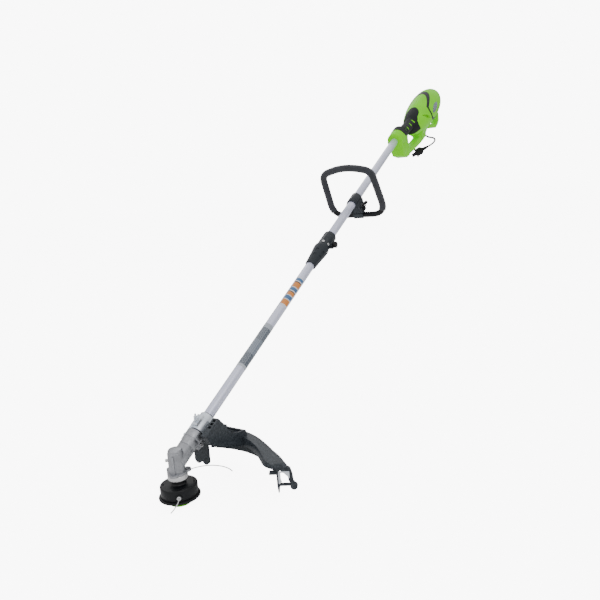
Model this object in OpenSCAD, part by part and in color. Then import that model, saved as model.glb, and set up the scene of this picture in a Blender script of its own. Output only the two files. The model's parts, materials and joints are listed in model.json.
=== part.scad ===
// Corded string trimmer with a two-piece shaft, a loop handle and a rear motor.
// Frame: origin on the ground under the cutting head, +Z up along the head axis,
// +X towards the operator, +Y to the operator's right. The shaft rises in the XZ plane.

/* [Overall] */
// Rise of the shaft above the ground, degrees
shaft_angle = 30; // [27:1:33]
// Height where the shaft axis crosses the head axis
axis_height = 92; // [90:1:110]
// Length of the lower shaft tube
lower_tube_length = 742; // [600:1:900]
// Length of the upper shaft tube
upper_tube_length = 680; // [560:1:820]

/* [Shaft] */
// Outside diameter of both shaft tubes
tube_d = 25.4; // [24:0.1:28]
// Wall of the shaft tubes
tube_wall = 1.6; // [1.2:0.1:2.5]
// Diameter of the drive shafts
drive_d = 8; // [6:0.5:9]
// Gap between a drive shaft and its bushings, per side
bush_gap = 0.05; // [0.02:0.01:0.1]
// Gap between the upper tube and the sliding coupler, per side
slide_gap = 0.08; // [0.02:0.01:0.1]

/* [Cutting head] */
// Radius of the line housing
head_r = 40.6; // [38:0.1:50]
// How far the flared rim stands out beyond the line housing
rim_flare = 4.4; // [2:0.1:10]
// Radius of the bump knob
knob_r = 27; // [22:0.5:29]
// Travel of the bump knob
bump_travel = 5; // [3:0.5:6]
// Diameter of the cutting line
line_d = 2.4; // [1.6:0.1:3]
// Teeth of the bevel gear on the head
gear_teeth = 20; // [20:4:24]
// Teeth of the bevel pinion on the shaft
pinion_teeth = 15; // [15:1:18]

/* [Guard] */
// Outside radius of the guard
guard_r = 212; // [200:1:230]
// Wall of the guard
guard_wall = 3; // [2.5:0.5:4]
// Width of the guard's roof beside the shaft
guard_band = 34; // [30:1:42]

/* [Loop handle] */
// Place of the handle clamp, measured from the lower end of the upper tube
clamp_place = 247; // [200:1:330]
// Half width of the loop at its centreline
loop_half = 92; // [80:1:105]
// Height of the loop's centreline over the shaft axis
loop_top = 114; // [100:1:130]
// Diameter of the loop's grip
loop_d = 22; // [18:1:24]

/* [Rear housing] */
// Wall of the housing shells
shell_wall = 2.5; // [2:0.1:3.5]
// Largest radius of the motor housing
motor_r = 56; // [52:1:60]
// Drop of the motor axis below the shaft axis
motor_drop = 32; // [30:1:34]
// Radius of the rear grip
grip_r = 19; // [18:0.5:21]
// Thickness of the soft cover on the grip
cover_t = 1; // [0.8:0.1:1.5]

/* [Power cord] */
// Diameter of the power cord
cord_d = 7; // [6:0.5:8]

/* [Hidden] */
$fn = 64;
gap = 0.3;
drive_r = drive_d / 2;
tube_r = tube_d / 2;
bore_r = tube_r - tube_wall;

// stations along the shaft, measured from the head axis
socket_end = 78;
lower_s0 = 28;
lower_s1 = lower_s0 + lower_tube_length;
upper_s0 = lower_s1 + 8;
upper_s1 = upper_s0 + upper_tube_length;
coupler_s0 = lower_s1 - 86;
coupler_mid = lower_s1 - 2;
coupler_s1 = lower_s1 + 60;
clamp_s = upper_s0 + clamp_place;
housing_s = upper_s1 - 48;

// heights over the ground on the head axis
housing_top = axis_height - 47;
rim_r = head_r + rim_flare;
rim_z0 = axis_height - 77;
rim_z1 = axis_height - 71;
neck_top = axis_height - 38;
collar_top = axis_height - 24;
eyelet_z = axis_height - 61;
eyelet_az = 223;
spool_z0 = rim_z0 + 5;
// the spool leaves room above it for the knob's travel
spool_z1 = housing_top - 6 - bump_travel;

// bevel gears: pitch cones of shafts that meet at 90 degrees plus the shaft angle
gear_pitch_r = 13;
gear_ratio = gear_teeth / pinion_teeth;
cone_shift = 90 + shaft_angle;
pinion_cone = atan(sin(cone_shift) / (gear_ratio + cos(cone_shift)));
gear_cone = cone_shift - pinion_cone;
pinion_pitch_r = gear_pitch_r / gear_ratio;
tooth_w = 2 * PI * gear_pitch_r / gear_teeth * 0.26;
// height of a tooth outside its pitch cone
tooth_tip = 0.8;
// back face of the pinion, where the drive shaft starts
pinion_hub = 4.5;
pinion_back = pinion_pitch_r / tan(pinion_cone) + pinion_hub;

// motor housing outline, measured from the housing's front face
egg_mid = 325;
egg_front = 190;
egg_rear = 134;
boss_len = 62;

// ---------- frames and plain shapes ----------

// children drawn in (along the shaft, across, over the shaft) coordinates
module on_shaft() translate([0, 0, axis_height]) rotate([0, -shaft_angle, 0]) children();
module on_housing() on_shaft() translate([housing_s, 0, 0]) children();
module rod(s0, s1, r, y = 0, n = 0)
    translate([s0, y, n]) rotate([0, 90, 0]) cylinder(h = s1 - s0, r = r);
module cross(y0, y1, r, s = 0, n = 0)
    translate([s, y0, n]) rotate([-90, 0, 0]) cylinder(h = y1 - y0, r = r);
module slab(s0, s1, y0, y1, n0, n1)
    translate([s0, y0, n0]) cube([s1 - s0, y1 - y0, n1 - n0]);
// a (along, over) outline given thickness across
module plate(y0, y1) translate([0, y1, 0]) rotate([90, 0, 0]) linear_extrude(y1 - y0) children();
// an (across, over) outline drawn along the shaft
module across(s0, s1) translate([s0, 0, 0]) rotate([90, 0, 90]) linear_extrude(s1 - s0) children();
module tube(s0, s1, r_out, r_in)
    difference() {
        rod(s0, s1, r_out);
        rod(s0 - 1, s1 + 1, r_in);
    }
module ring_z(z0, z1, r_out, r_in)
    translate([0, 0, z0]) difference() {
        cylinder(h = z1 - z0, r = r_out);
        translate([0, 0, -1]) cylinder(h = z1 - z0 + 2, r = r_in);
    }

// ---------- swept tubes ----------

function unit(v) = v / norm(v);
function tangent(p, i) = unit(p[min(i + 1, len(p) - 1)] - p[max(i - 1, 0)]);
function side_of(t, up) = unit(cross(t, up));
function ring_at(p, i, r, n, up) =
    let (t = tangent(p, i), a = side_of(t, up), b = cross(a, t))
    [for (k = [0:n - 1]) p[i] + r * (cos(360 * k / n) * a + sin(360 * k / n) * b)];
module sweep(p, r, n, up = [0, 0.05, 1]) {
    m = len(p);
    pts = [for (i = [0:m - 1]) each ring_at(p, i, r, n, up)];
    sides = [for (i = [0:m - 2]) for (k = [0:n - 1])
        [i * n + k, i * n + (k + 1) % n, (i + 1) * n + (k + 1) % n, (i + 1) * n + k]];
    caps = [[for (k = [n - 1:-1:0]) k], [for (k = [0:n - 1]) (m - 1) * n + k]];
    polyhedron(points = pts, faces = concat(sides, caps), convexity = 6);
}
// points on a smooth curve through p
function spline(a, b, c, d, t) =
    0.5 * (2 * b + (c - a) * t + (2 * a - 5 * b + 4 * c - d) * t * t
           + (3 * b - a - 3 * c + d) * t * t * t);
function smooth(p, k) = let (m = len(p)) [
    for (i = [0:m - 2]) for (j = [0:k - 1])
        spline(p[max(i - 1, 0)], p[i], p[i + 1], p[min(i + 2, m - 1)], j / k),
    p[m - 1]];
function coil(r, pitch, turns, n = 16) =
    [for (i = [0:turns * n]) [r * cos(360 * i / n), r * sin(360 * i / n), pitch * i / n]];

// ---------- cutting head ----------

knob_color = [0.35, 0.75, 0.10];
black = [0.07, 0.07, 0.08];
charcoal = [0.17, 0.18, 0.20];
green = [0.45, 0.83, 0.13];
steel = [0.75, 0.76, 0.78];
cast = [0.62, 0.63, 0.65];
alloy = [0.78, 0.79, 0.84];

hub_r = 9;
module bump_knob() color(knob_color) difference() {
    rotate_extrude() polygon([[0, 0], [knob_r - 9, 0], [knob_r - 4, 1.2], [knob_r - 1, 4],
        [knob_r, 8], [knob_r, rim_z0 + 2], [knob_r - 3, rim_z0 + 4],
        [knob_r - 3, spool_z0], [0, spool_z0]]);
    translate([0, 0, 5]) cylinder(h = spool_z0, r = hub_r + gap);
    for (a = [0:45:315]) rotate([0, 0, a]) translate([knob_r + 3.5, 0, -1]) cylinder(h = 12, r = 5);
}
module line_spool() color(black) difference() {
    union() {
        translate([0, 0, spool_z0]) cylinder(h = 2, r = head_r - 5);
        translate([0, 0, spool_z0]) cylinder(h = spool_z1 - spool_z0, r = 13);
        translate([0, 0, spool_z1 - 2]) cylinder(h = 2, r = head_r - 5);
    }
    translate([0, 0, spool_z0 - 1]) cylinder(h = 40, r = hub_r + gap);
}
module wound_line() color("white")
    ring_z(spool_z0 + 2, spool_z1 - 2, head_r - 9, 13);
module head_spring() color(steel)
    translate([0, 0, spool_z1 + 0.8])
        sweep(coil(11.2, (housing_top - 2.5 - spool_z1 - 1.6) / 4, 4), 0.7, 8);
module head_housing() color(black) difference() {
    union() {
        rotate_extrude() polygon([[0, rim_z1], [head_r, rim_z1], [head_r, housing_top - 1.5],
            [head_r - 1.5, housing_top], [17, housing_top], [14.5, housing_top + 3],
            [14.5, neck_top], [0, neck_top]]);
        for (a = [0, 180]) rotate([0, 0, eyelet_az + a]) translate([head_r - 5, 0, eyelet_z])
            rotate([0, 90, 0]) cylinder(h = 8.5, r = 6.5);
    }
    difference() {
        translate([0, 0, rim_z1 - 1]) cylinder(h = housing_top - rim_z1 - 1.5, r = head_r - 2.4);
        cylinder(h = 200, r = hub_r);
    }
    translate([0, 0, -1]) cylinder(h = 200, r = drive_r);
    for (a = [0, 180]) rotate([0, 0, eyelet_az + a]) translate([20, 0, eyelet_z])
        rotate([0, 90, 0]) cylinder(h = 40, r = 2.6);
    for (a = [40:90:310]) rotate([0, 0, a]) translate([head_r - 9, -2.5, housing_top - 4])
        cube([3, 5, 10]);
}
module head_rim() color(black) rotate_extrude() polygon([[knob_r + 2, rim_z0], [rim_r - 1.5, rim_z0],
    [rim_r, rim_z0 + 1.5], [rim_r, rim_z1 - 1.5], [head_r + 0.6, rim_z1], [head_r - 2.4, rim_z1],
    [head_r - 2.4, rim_z0 + 3], [knob_r + 2, rim_z0 + 3]]);
module line_eyelets() color(steel)
    for (a = [0, 180]) rotate([0, 0, eyelet_az + a]) translate([0, 0, eyelet_z]) rotate([0, 90, 0])
        rotate_extrude() polygon([[line_d / 2 + 0.1, head_r - 4], [2.6, head_r - 4],
            [2.6, head_r + 3.5], [4.6, head_r + 3.5], [4.6, head_r + 4.6], [3.4, head_r + 5.4],
            [line_d / 2 + 0.1, head_r + 4.4]]);

// route of each free end of the line, hand-set, from its eyelet
near_tail = [[-31.5, -29.4, 31], [-36, -33.5, 31], [-39.5, -35, 28.5], [-42, -33, 23],
             [-45, -29, 16], [-48, -24, 9], [-50, -20.5, 5]];
far_tail = [[31.5, 29.4, 31], [37, 34.5, 31], [52, 43, 31], [78, 45, 31], [104, 34, 30], [122, 14, 29],
            [130, -10, 28], [129, -32, 27], [124, -46, 26]];
module cutting_line() color("white") {
    sweep(smooth(near_tail, 3), line_d / 2, 8);
    sweep(smooth(far_tail, 4), line_d / 2, 8);
}
module drive_collar() color(steel) difference() {
    rotate_extrude() polygon([[0, neck_top], [19, neck_top], [22, neck_top + 3],
        [22, collar_top - 1.5], [20.5, collar_top], [0, collar_top]]);
    cylinder(h = 200, r = drive_r);
}
module output_shaft() color(steel) translate([0, 0, rim_z1 - 2])
    cylinder(h = axis_height - 5.5 - rim_z1 + 2, r = drive_r);
// straight teeth laid on a cone, trimmed to the working face
module bevel(teeth, pitch_r, cone, face, bore, hub_h, phase) {
    pitch_z = pitch_r / tan(cone);
    difference() {
        union() {
            intersection() {
                rotate_extrude() polygon([[0, pitch_z + 6], [0, pitch_z * 0.5],
                    [pitch_r - face * sin(cone) + tooth_tip * cos(cone),
                     pitch_z - face * cos(cone) - tooth_tip * sin(cone)],
                    [pitch_r + tooth_tip * cos(cone), pitch_z - tooth_tip * sin(cone)],
                    [pitch_r - 2 * cos(cone), pitch_z + 2 * sin(cone)]]);
                for (i = [0:teeth - 1]) rotate([0, 0, phase + 360 * i / teeth])
                    translate([pitch_r - 6, -tooth_w / 2, -20]) cube([10, tooth_w, 60]);
            }
            rotate_extrude() polygon([[0, pitch_z + hub_h],
                [0, pitch_z - face * cos(cone) + 1.3 * sin(cone)],
                [pitch_r - face * sin(cone) - 1.3 * cos(cone),
                 pitch_z - face * cos(cone) + 1.3 * sin(cone)],
                [pitch_r - 1.3 * cos(cone) - 0.2 * sin(cone), pitch_z + 1.3 * sin(cone) - 0.2 * cos(cone)],
                [pitch_r - 3 * cos(cone) - 0.2 * sin(cone), pitch_z + 3 * sin(cone) - 0.2 * cos(cone)],
                [drive_r + 2, pitch_z + hub_h]]);
        }
        if (bore > 0) translate([0, 0, -10]) cylinder(h = 60, r = bore);
    }
}
module bevel_gear() color(steel) translate([0, 0, axis_height]) mirror([0, 0, 1])
    bevel(gear_teeth, gear_pitch_r, gear_cone, 4, drive_r, 7, 0);
module bevel_pinion() color(steel) on_shaft() rotate([0, 90, 0])
    bevel(pinion_teeth, pinion_pitch_r, pinion_cone, 4, 0, pinion_hub, 180 / pinion_teeth);

// ---------- gearbox ----------

socket_r = 19.5;
case_r = 17.5;
module gearbox_housing() color(cast) difference() {
    union() {
        translate([0, 0, axis_height]) rotate_extrude() polygon([[0, -24], [case_r, -24],
            [case_r, 22], [case_r - 0.5, 24], [case_r - 1.5, 25], [case_r - 1.5, 28],
            [case_r - 3.5, 31], [case_r - 7, 32], [0, 32]]);
        // flange plate with three rounded corners
        for (k = [0:2]) rotate([0, 0, 205 + 120 * k]) translate([20, 0, collar_top + 1])
            cylinder(h = 5, r = 10);
        translate([0, 0, collar_top + 0.5]) cylinder(h = 4.5, r = 22);
        // vertical rib on the front
        rotate([0, 0, 205]) translate([case_r - 2, -2.2, axis_height - 20]) cube([5, 4.4, 40]);
        // pipe socket with two ring grooves
        on_shaft() difference() {
            rod(0, socket_end, socket_r);
            for (s = [38, 58]) difference() {
                rod(s, s + 1.6, socket_r + 1);
                rod(s - 1, s + 3, socket_r - 1);
            }
        }
        // clamp ears under the socket
        on_shaft() slab(socket_end - 22, socket_end, -9, 9, -socket_r - 9, -socket_r + 4);
        on_shaft() rod(20, socket_end - 22, 5, 0, -socket_r + 1);
    }
    translate([0, 0, collar_top - 1]) cylinder(h = axis_height - collar_top + 15, r = 14.2);
    on_shaft() rod(8, lower_s0, 10.5);
    on_shaft() rod(lower_s0, socket_end + 1, tube_r);
    on_shaft() slab(socket_end - 26, socket_end + 1, -1.2, 1.2, -socket_r - 10, 0);
    on_shaft() cross(-12, 12, 2.6, socket_end - 11, -socket_r - 3.5);
    at_grease_plug() translate([0, 0, case_r - 1]) cylinder(h = 8, r = 3.6);
}
module at_grease_plug() translate([0, 0, axis_height + 6]) rotate([0, 0, 122]) rotate([0, 90, 0])
    children();
module gearbox_bearings() color(steel) {
    for (z = [collar_top + 1, axis_height - 17.6])
        ring_z(z, z + 5, 14.2, drive_r + bush_gap);
    on_shaft() for (s = [15, 21.5]) tube(s, s + 5.5, 10.5, drive_r + bush_gap);
}
module gearbox_screws() color(steel) {
    // socket screw through the clamp ears
    on_shaft() {
        cross(-9, 12, 2.6, socket_end - 11, -socket_r - 3.5);
        difference() {
            cross(-13, -9, 4.6, socket_end - 11, -socket_r - 3.5);
            cross(-14, -11, 2.2, socket_end - 11, -socket_r - 3.5, $fn = 6);
        }
    }
    // grease plug on the side of the case
    at_grease_plug() difference() {
            translate([0, 0, case_r - 1]) cylinder(h = 6.5, r = 3.6);
            translate([0, 0, case_r + 4.5]) cube([8, 1, 3], center = true);
        }
}

// ---------- lower shaft ----------

module lower_drive_shaft() color(steel) on_shaft() difference() {
    union() {
        rod(pinion_back, lower_s1 - 16, drive_r);
        rod(lower_s1 - 18, lower_s1 + 12, 6.8);
    }
    slab(lower_s1 - 12, lower_s1 + 13, -3.1, 3.1, -3.1, 3.1);
}
module lower_tube() color(alloy) on_shaft() tube(lower_s0, lower_s1, tube_r, bore_r);
module lower_bushings() color("white") on_shaft()
    for (k = [1:3]) tube(lower_s0 + k * lower_tube_length / 4 - 9, lower_s0 + k * lower_tube_length / 4 + 9,
        bore_r, drive_r + bush_gap);
label_t = 0.25;
module shaft_labels() color([0.35, 0.40, 0.48]) on_shaft() {
    tube(lower_s0 + 250, lower_s0 + 400, tube_r + label_t, tube_r);
    difference() {
        tube(lower_s0 + 474, lower_s0 + 588, tube_r + label_t, tube_r);
        slab(lower_s0 + 470, lower_s0 + 600, 2, 20, -20, 20);
        slab(lower_s0 + 470, lower_s0 + 600, -20, 20, -20, -1);
    }
}

// ---------- guard ----------

bracket_s0 = socket_end + 4;
bracket_s1 = bracket_s0 + 44;
saddle_t = 2.5;
pad_t = 2;
// saddle over a tube with a straight skirt down each side
module half_wrap(s0, s1, r_in, t, skirt) {
    difference() {
        union() {
            rod(s0, s1, r_in + t);
            slab(s0, s1, -r_in - t, r_in + t, -skirt, 0);
        }
        rod(s0 - 1, s1 + 1, r_in);
        slab(s0 - 1, s1 + 1, -r_in, r_in, -2 * r_in, 0);
    }
}
module bracket_pad() color(black) on_shaft() half_wrap(bracket_s0 - 1, bracket_s1 + 3, tube_r, pad_t, 10);
saddle_r = tube_r + pad_t + saddle_t;
flange_s0 = socket_end - 20;
flange_y = socket_r + 0.8;
flange_out = flange_y + 10;
flange_screws = [flange_s0 + 12, bracket_s1 - 10];
wing_s = bracket_s0 + 17;
tongue_n = saddle_r + 5;
module guard_bracket() color(steel) on_shaft() difference() {
    union() {
        half_wrap(bracket_s0, bracket_s1, tube_r + pad_t, saddle_t, 12);
        // flat flange that reaches forward beside the gearbox socket
        slab(flange_s0, bracket_s1, flange_y, flange_out, -2.5, 0);
        slab(bracket_s0, bracket_s1, saddle_r - 1, flange_y + 1, -2.5, 0);
        // raised tongue that carries the wing nut
        slab(wing_s - 13, wing_s + 16, -8, 8, saddle_r - 1, tongue_n);
    }
    for (s = flange_screws) translate([s, flange_y + 5, -3]) cylinder(h = 4, r = 2.6);
    translate([wing_s, 0, tube_r + pad_t]) cylinder(h = 12, r = 3.05);
}
module wing_nut(r, span, bore) {
    difference() {
        union() {
            cylinder(h = 6, r1 = r, r2 = r - 1.5);
            for (m = [-1, 1]) translate([m * span / 2, 0, 7]) rotate([90, 0, 0])
                translate([0, 0, -1.1]) cylinder(h = 2.2, r = span / 3.2);
        }
        translate([0, 0, -9]) cylinder(h = 40, r = bore);
    }
}
module guard_wing_nut() color(steel) on_shaft() translate([wing_s, 0, tongue_n + 0.05])
    rotate([0, 0, 35]) wing_nut(6.5, 15, 3.05);

// stations round the roof: angle, inner edge and outer edge out from the plain band, roof height
guard_plan = [[18, 0, 0, -2], [0, 0, 0, -2], [-10, 0, 0, -3], [-20, 0, -1, -5], [-30, 0, -1, -8],
              [-40, 0, 2, -10], [-46, 1, 8, -11], [-51, 3, 14, -12], [-55, 7, 19, -13],
              [-58, 14, 24, -14], [-60, 23, 28, -16], [-61.5, 32, 31, -22]];
guard_end = -61;
skirt_n = -60;
function guard_ring(g) =
    let (ri = guard_r - guard_band + g[1], ro = guard_r + g[2], z = g[3], w = guard_wall,
         m = (ri + ro) / 2, f = max(g[2] - 14, 0) / 3, b = skirt_n + max(g[2], 0) * 0.8,
         lip = max(-25, z - 23))
    [for (q = [[ri, lip], [ri + 1, z - 8], [ri + 5, z - 1.5], [m, z + 1], [ro - 8, z], [ro - 2, z - 3],
               [ro, z - 9], [ro + f, b], [ro + f - w, b], [ro - w, z - 10], [ro - 7, z - 4],
               [m, z - w + 1], [ri + 6, z - w - 1.5], [ri + 1 + w, z - 10], [ri + w, lip]])
        [q[0] * cos(g[0]), q[0] * sin(g[0]), axis_height + q[1]]];
module guard_roof() {
    n = 15;
    plan = smooth(guard_plan, 3);
    m = len(plan);
    sides = [for (i = [0:m - 2]) for (k = [0:n - 1])
        [i * n + k, i * n + (k + 1) % n, (i + 1) * n + (k + 1) % n, (i + 1) * n + k]];
    polyhedron(points = [for (g = plan) each guard_ring(g)], convexity = 8,
        faces = concat(sides, [[for (k = [n - 1:-1:0]) k]], [[for (k = [0:n - 1]) (m - 1) * n + k]]));
}
near_y = -46;
web_y = -42;
cutter_r = guard_r + 4;
// outline of the wall that falls from the block beside the tube to the roof
web_line = [[72, 12], [98, 65], [104, 64], [112, 54], [121, 41], [127, 34], [133, 28], [141, 21],
            [150, 16.5], [163, 12], [175, 10], [190, 8], [193, 0], [193, -8], [178, -14],
            [173, -25], [150, -20], [120, -6], [95, 5]];
module guard_shell() color(charcoal) difference() {
    union() {
        guard_roof();
        // block beside the tube, plate under it and rail under the bracket's flange
        on_shaft() plate(near_y, near_y + 16) polygon([[socket_end - 12, 14], [bracket_s1 - 8, 14],
            [bracket_s1, -26], [socket_end - 6, -26], [socket_end - 12, -12]]);
        on_shaft() slab(socket_end + 2, bracket_s1 + 2, near_y, flange_out, -26, -saddle_r - 0.6);
        on_shaft() slab(flange_s0 + 6, bracket_s1 + 2, flange_y, flange_out, -26, -2.5);
        translate([0, 0, axis_height]) {
            translate([0, web_y, 0]) plate(0, 6) polygon(web_line);
            // far wall, floor and raised box
            plate(24, 30) polygon([[76, 16], [120, 38], [126, 34], [133, 28], [141, 21], [150, 16.5],
                [163, 12], [175, 10], [190, 8], [190, -10], [100, -10]]);
            translate([122, web_y, -12]) cube([56, 72, 3]);
            translate([128, web_y, -12]) cube([62, 72, 16]);
            translate([184, web_y, -12]) cube([6, 72, 20]);
            // two hanging lobes under the tube
            translate([90, -10, -34]) cube([5, 44, 62]);
            for (y = [1, 23]) translate([90, y, -34]) rotate([0, 90, 0]) cylinder(h = 5, r = 11);
        }
        // frame that carries the cutter
        translate([0, 0, axis_height]) rotate([0, 0, guard_end]) {
            translate([guard_r - 14, -8, -33]) cube([18, 14, 4]);
            plate(-2.3, 6) polygon([[cutter_r - 3, -20], [cutter_r - 3, -62], [cutter_r - 1, -77],
                [cutter_r + 1, -77], [cutter_r + 3, -62], [cutter_r + 3, -27], [cutter_r + 20, -27],
                [cutter_r + 22, -50], [cutter_r + 26, -56], [cutter_r + 33, -56],
                [cutter_r + 31, -36], [cutter_r + 27, -22], [cutter_r + 20, -18]]);
            translate([cutter_r, -1, -62.5]) cube([28, 6, 5]);
            translate([cutter_r + 33, 5, -63]) rotate([90, 0, 0]) cylinder(h = 8, r = 8);
            translate([cutter_r + 25, -2, -62]) cube([10, 6, 10]);
        }
    }
    // three square sockets in the block's top
    on_shaft() for (k = [0:2]) translate([bracket_s0 + 9.5 + 9.5 * k, near_y + 8, 8])
        cube([6.5, 8, 14], center = true);
    // hollow of the raised box
    translate([134, web_y + 5, axis_height - 4]) cube([44, 60, 40]);
    for (s = flange_screws) on_shaft() translate([s, flange_y + 5, -19]) cylinder(h = 20, r = 2.55);
}
module cutter_blade() color(steel) translate([0, 0, axis_height]) rotate([0, 0, guard_end])
    plate(-4, -2.3) polygon([[cutter_r + 1, -28], [cutter_r + 25, -28], [cutter_r + 25, -44],
        [cutter_r + 12, -31], [cutter_r + 6, -31], [cutter_r + 6, -44], [cutter_r + 8, -52],
        [cutter_r + 3, -56], [cutter_r + 1, -56]]);
module guard_screws() color(steel) on_shaft() {
    for (s = flange_screws) translate([s, flange_y + 5, 0]) {
        cylinder(h = 3.5, r = 4.4, $fn = 6);
        translate([0, 0, -17]) cylinder(h = 18, r = 2.5);
    }
    translate([wing_s, 0, tube_r + pad_t + 0.5]) cylinder(h = 19, r = 3);
}

// ---------- coupler ----------

module coupler_barrel() color(black) on_shaft() difference() {
    rotate([0, 90, 0]) rotate_extrude() polygon([[0, coupler_s0], [15, coupler_s0],
        [16.2, coupler_s0 + 2], [17, coupler_s0 + 14], [19.5, coupler_s0 + 42],
        [22, coupler_s0 + 66], [22.6, coupler_s0 + 76], [22, coupler_s0 + 81],
        [20.4, coupler_mid], [0, coupler_mid]]);
    rod(coupler_s0 - 1, coupler_mid + 1, tube_r);
    // recessed panels round the wide end
    for (a = [15:60:315]) rotate([a, 0, 0]) for (s = [30, 50])
        translate([coupler_s0 + s, 0, 21.5 - (60 - s) / 12]) cube([15, 8, 3], center = true);
}
button_s = upper_s0 + 34;
button_r = 3.2;
ring_r = 19.6;
knob_n = -6;
knob_s = coupler_mid + 24;
bolt_s = coupler_mid + 8;
bolt_turns = [20, 70, 200, 250];
module coupler_clamp() color(black) on_shaft() difference() {
    union() {
        rotate([0, 90, 0]) rotate_extrude() polygon([[0, coupler_mid], [20.2, coupler_mid],
            [20.2, coupler_mid + 3], [ring_r, coupler_mid + 4], [ring_r, coupler_s1 - 5],
            [ring_r - 1.4, coupler_s1 - 1.5], [ring_r - 3, coupler_s1], [0, coupler_s1]]);
        slab(knob_s - 9, knob_s + 10, -25, -8, knob_n - 9, knob_n + 9);
    }
    rod(coupler_mid - 1, upper_s0 - 4, tube_r);
    rod(upper_s0 - 5, coupler_s1 + 1, tube_r + slide_gap);
    // split of the clamp
    slab(coupler_mid + 14, coupler_s1 + 1, -26, -10, knob_n - 0.8, knob_n + 0.8);
    // hole and channel of the release button
    translate([button_s, 0, -30]) cylinder(h = 20, r = button_r + 0.08);
    slab(button_s, coupler_s1 + 1, -button_r - 0.3, button_r + 0.3, -tube_r - 3.6, 0);
    for (a = bolt_turns) rotate([a, 0, 0]) translate([bolt_s, 0, 0]) {
        translate([0, 0, tube_r + 1]) cylinder(h = 20, r = 2.05);
        translate([0, 0, ring_r - 1.2]) cylinder(h = 20, r = 4.3);
    }
    cross(-26, -tube_r - 1, 3.05, knob_s, knob_n);
}
module coupler_bolts() color(steel) on_shaft() for (a = bolt_turns) rotate([a, 0, 0])
    translate([bolt_s, 0, 0]) {
        translate([0, 0, tube_r + 1.5]) cylinder(h = 6, r = 2);
        translate([0, 0, ring_r - 1.2]) difference() {
            cylinder(h = 3.4, r = 4);
            translate([0, 0, 1.6]) cylinder(h = 4, r = 2, $fn = 6);
        }
    }
module coupler_knob() color(black) on_shaft() {
    cross(-27, -tube_r - 1.6, 3, knob_s, knob_n);
    difference() {
        cross(-35, -25 - gap, 9.5, knob_s, knob_n);
        for (a = [0:45:315]) translate([knob_s, 0, knob_n]) rotate([0, a, 0]) cross(-36, -25, 2.2, 10.4, 0);
    }
}
module release_button() color(steel) on_shaft() {
    translate([button_s, 0, -tube_r - 3]) cylinder(h = 6.5, r = button_r);
    translate([button_s, 0, -tube_r + tube_wall + 1.5]) cylinder(h = 1.6, r = 5);
}

// ---------- upper shaft ----------

module upper_tube() color(alloy) on_shaft() difference() {
    tube(upper_s0, upper_s1, tube_r, bore_r);
    translate([button_s, 0, -tube_r - 1]) cylinder(h = 6, r = button_r + 0.08);
}
module upper_bushings() color("white") on_shaft()
    for (k = [1:3]) tube(upper_s0 + k * upper_tube_length / 4 - 9, upper_s0 + k * upper_tube_length / 4 + 9,
        bore_r, drive_r + bush_gap);
module upper_drive_shaft() color(steel) on_shaft() {
    slab(lower_s1 - 10, lower_s1 + 16, -3, 3, -3, 3);
    rod(lower_s1 + 15, housing_s + 70, drive_r);
}

// ---------- loop handle ----------

bolt_n = -22;
bolt_r = 3;
leg_y = 21;
module handle_saddle() color(black) on_shaft() difference() {
    union() {
        rod(clamp_s - 27, clamp_s + 17, tube_r + 4.6);
        plate(-leg_y, leg_y) polygon([[clamp_s - 24, 0], [clamp_s - 18, -26], [clamp_s - 11, -42],
            [clamp_s - 8, -45], [clamp_s + 8, -45], [clamp_s + 11, -42], [clamp_s + 14, -26],
            [clamp_s + 15, 0]]);
    }
    rod(clamp_s - 40, clamp_s + 40, tube_r + slide_gap);
    // room for the block between the legs
    slab(clamp_s - 40, clamp_s + 40, -leg_y + 5, leg_y - 5, -60, -3);
    cross(-30, 30, bolt_r, clamp_s, bolt_n);
}
module handle_bolt() color(steel) on_shaft() {
    cross(-leg_y - 12, leg_y + 2, bolt_r, clamp_s, bolt_n);
    cross(leg_y, leg_y + 5, 7, clamp_s, bolt_n, $fn = 6);
    difference() {
        cross(-leg_y - 2, -leg_y, 8, clamp_s, bolt_n);
        cross(-leg_y - 3, -leg_y + 1, bolt_r, clamp_s, bolt_n);
    }
}
module handle_wing_nut() color(black) on_shaft() translate([clamp_s, -leg_y - 2.05, bolt_n])
    rotate([90, 0, 0]) rotate([0, 0, 25]) wing_nut(8, 22, bolt_r + 0.05);

// rounded outline of the loop in (across, over) coordinates, right half then left half
loop_base = -56;
function corner(a, b, c, r, k) =
    let (u = unit(a - b), v = unit(c - b), half = acos(u * v) / 2, d = r / tan(half),
         p = b + u * d, q = b + v * d)
    [for (i = [0:k]) let (t = i / k, e = (1 - t) * (1 - t) * p + 2 * t * (1 - t) * b + t * t * q) e];
loop_mid = [[0, loop_base], [loop_half + 2, loop_base], [loop_half - 6, loop_top - 15],
            [0, loop_top + 8], [-loop_half + 6, loop_top - 15], [-loop_half - 2, loop_base]];
loop_path = concat([[8, loop_base]], corner(loop_mid[0], loop_mid[1], loop_mid[2], 44, 8),
    corner(loop_mid[1], loop_mid[2], loop_mid[3], 34, 8),
    corner(loop_mid[2], loop_mid[3], loop_mid[4], 190, 8),
    corner(loop_mid[3], loop_mid[4], loop_mid[5], 34, 8),
    corner(loop_mid[4], loop_mid[5], loop_mid[0], 44, 8), [[-8, loop_base]]);
function in_loop(p) = [for (q = p) [clamp_s, q[0], q[1]]];
module loop_frame() color(black) on_shaft() sweep(in_loop(loop_path), loop_d / 2 - 2, 20, [1, 0, 0]);
module loop_grip() color(black) on_shaft() difference() {
    sweep(in_loop([for (i = [6:len(loop_path) - 7]) loop_path[i]]), loop_d / 2, 20, [1, 0, 0]);
    sweep(in_loop(loop_path), loop_d / 2 - 2, 20, [1, 0, 0]);
}
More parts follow.
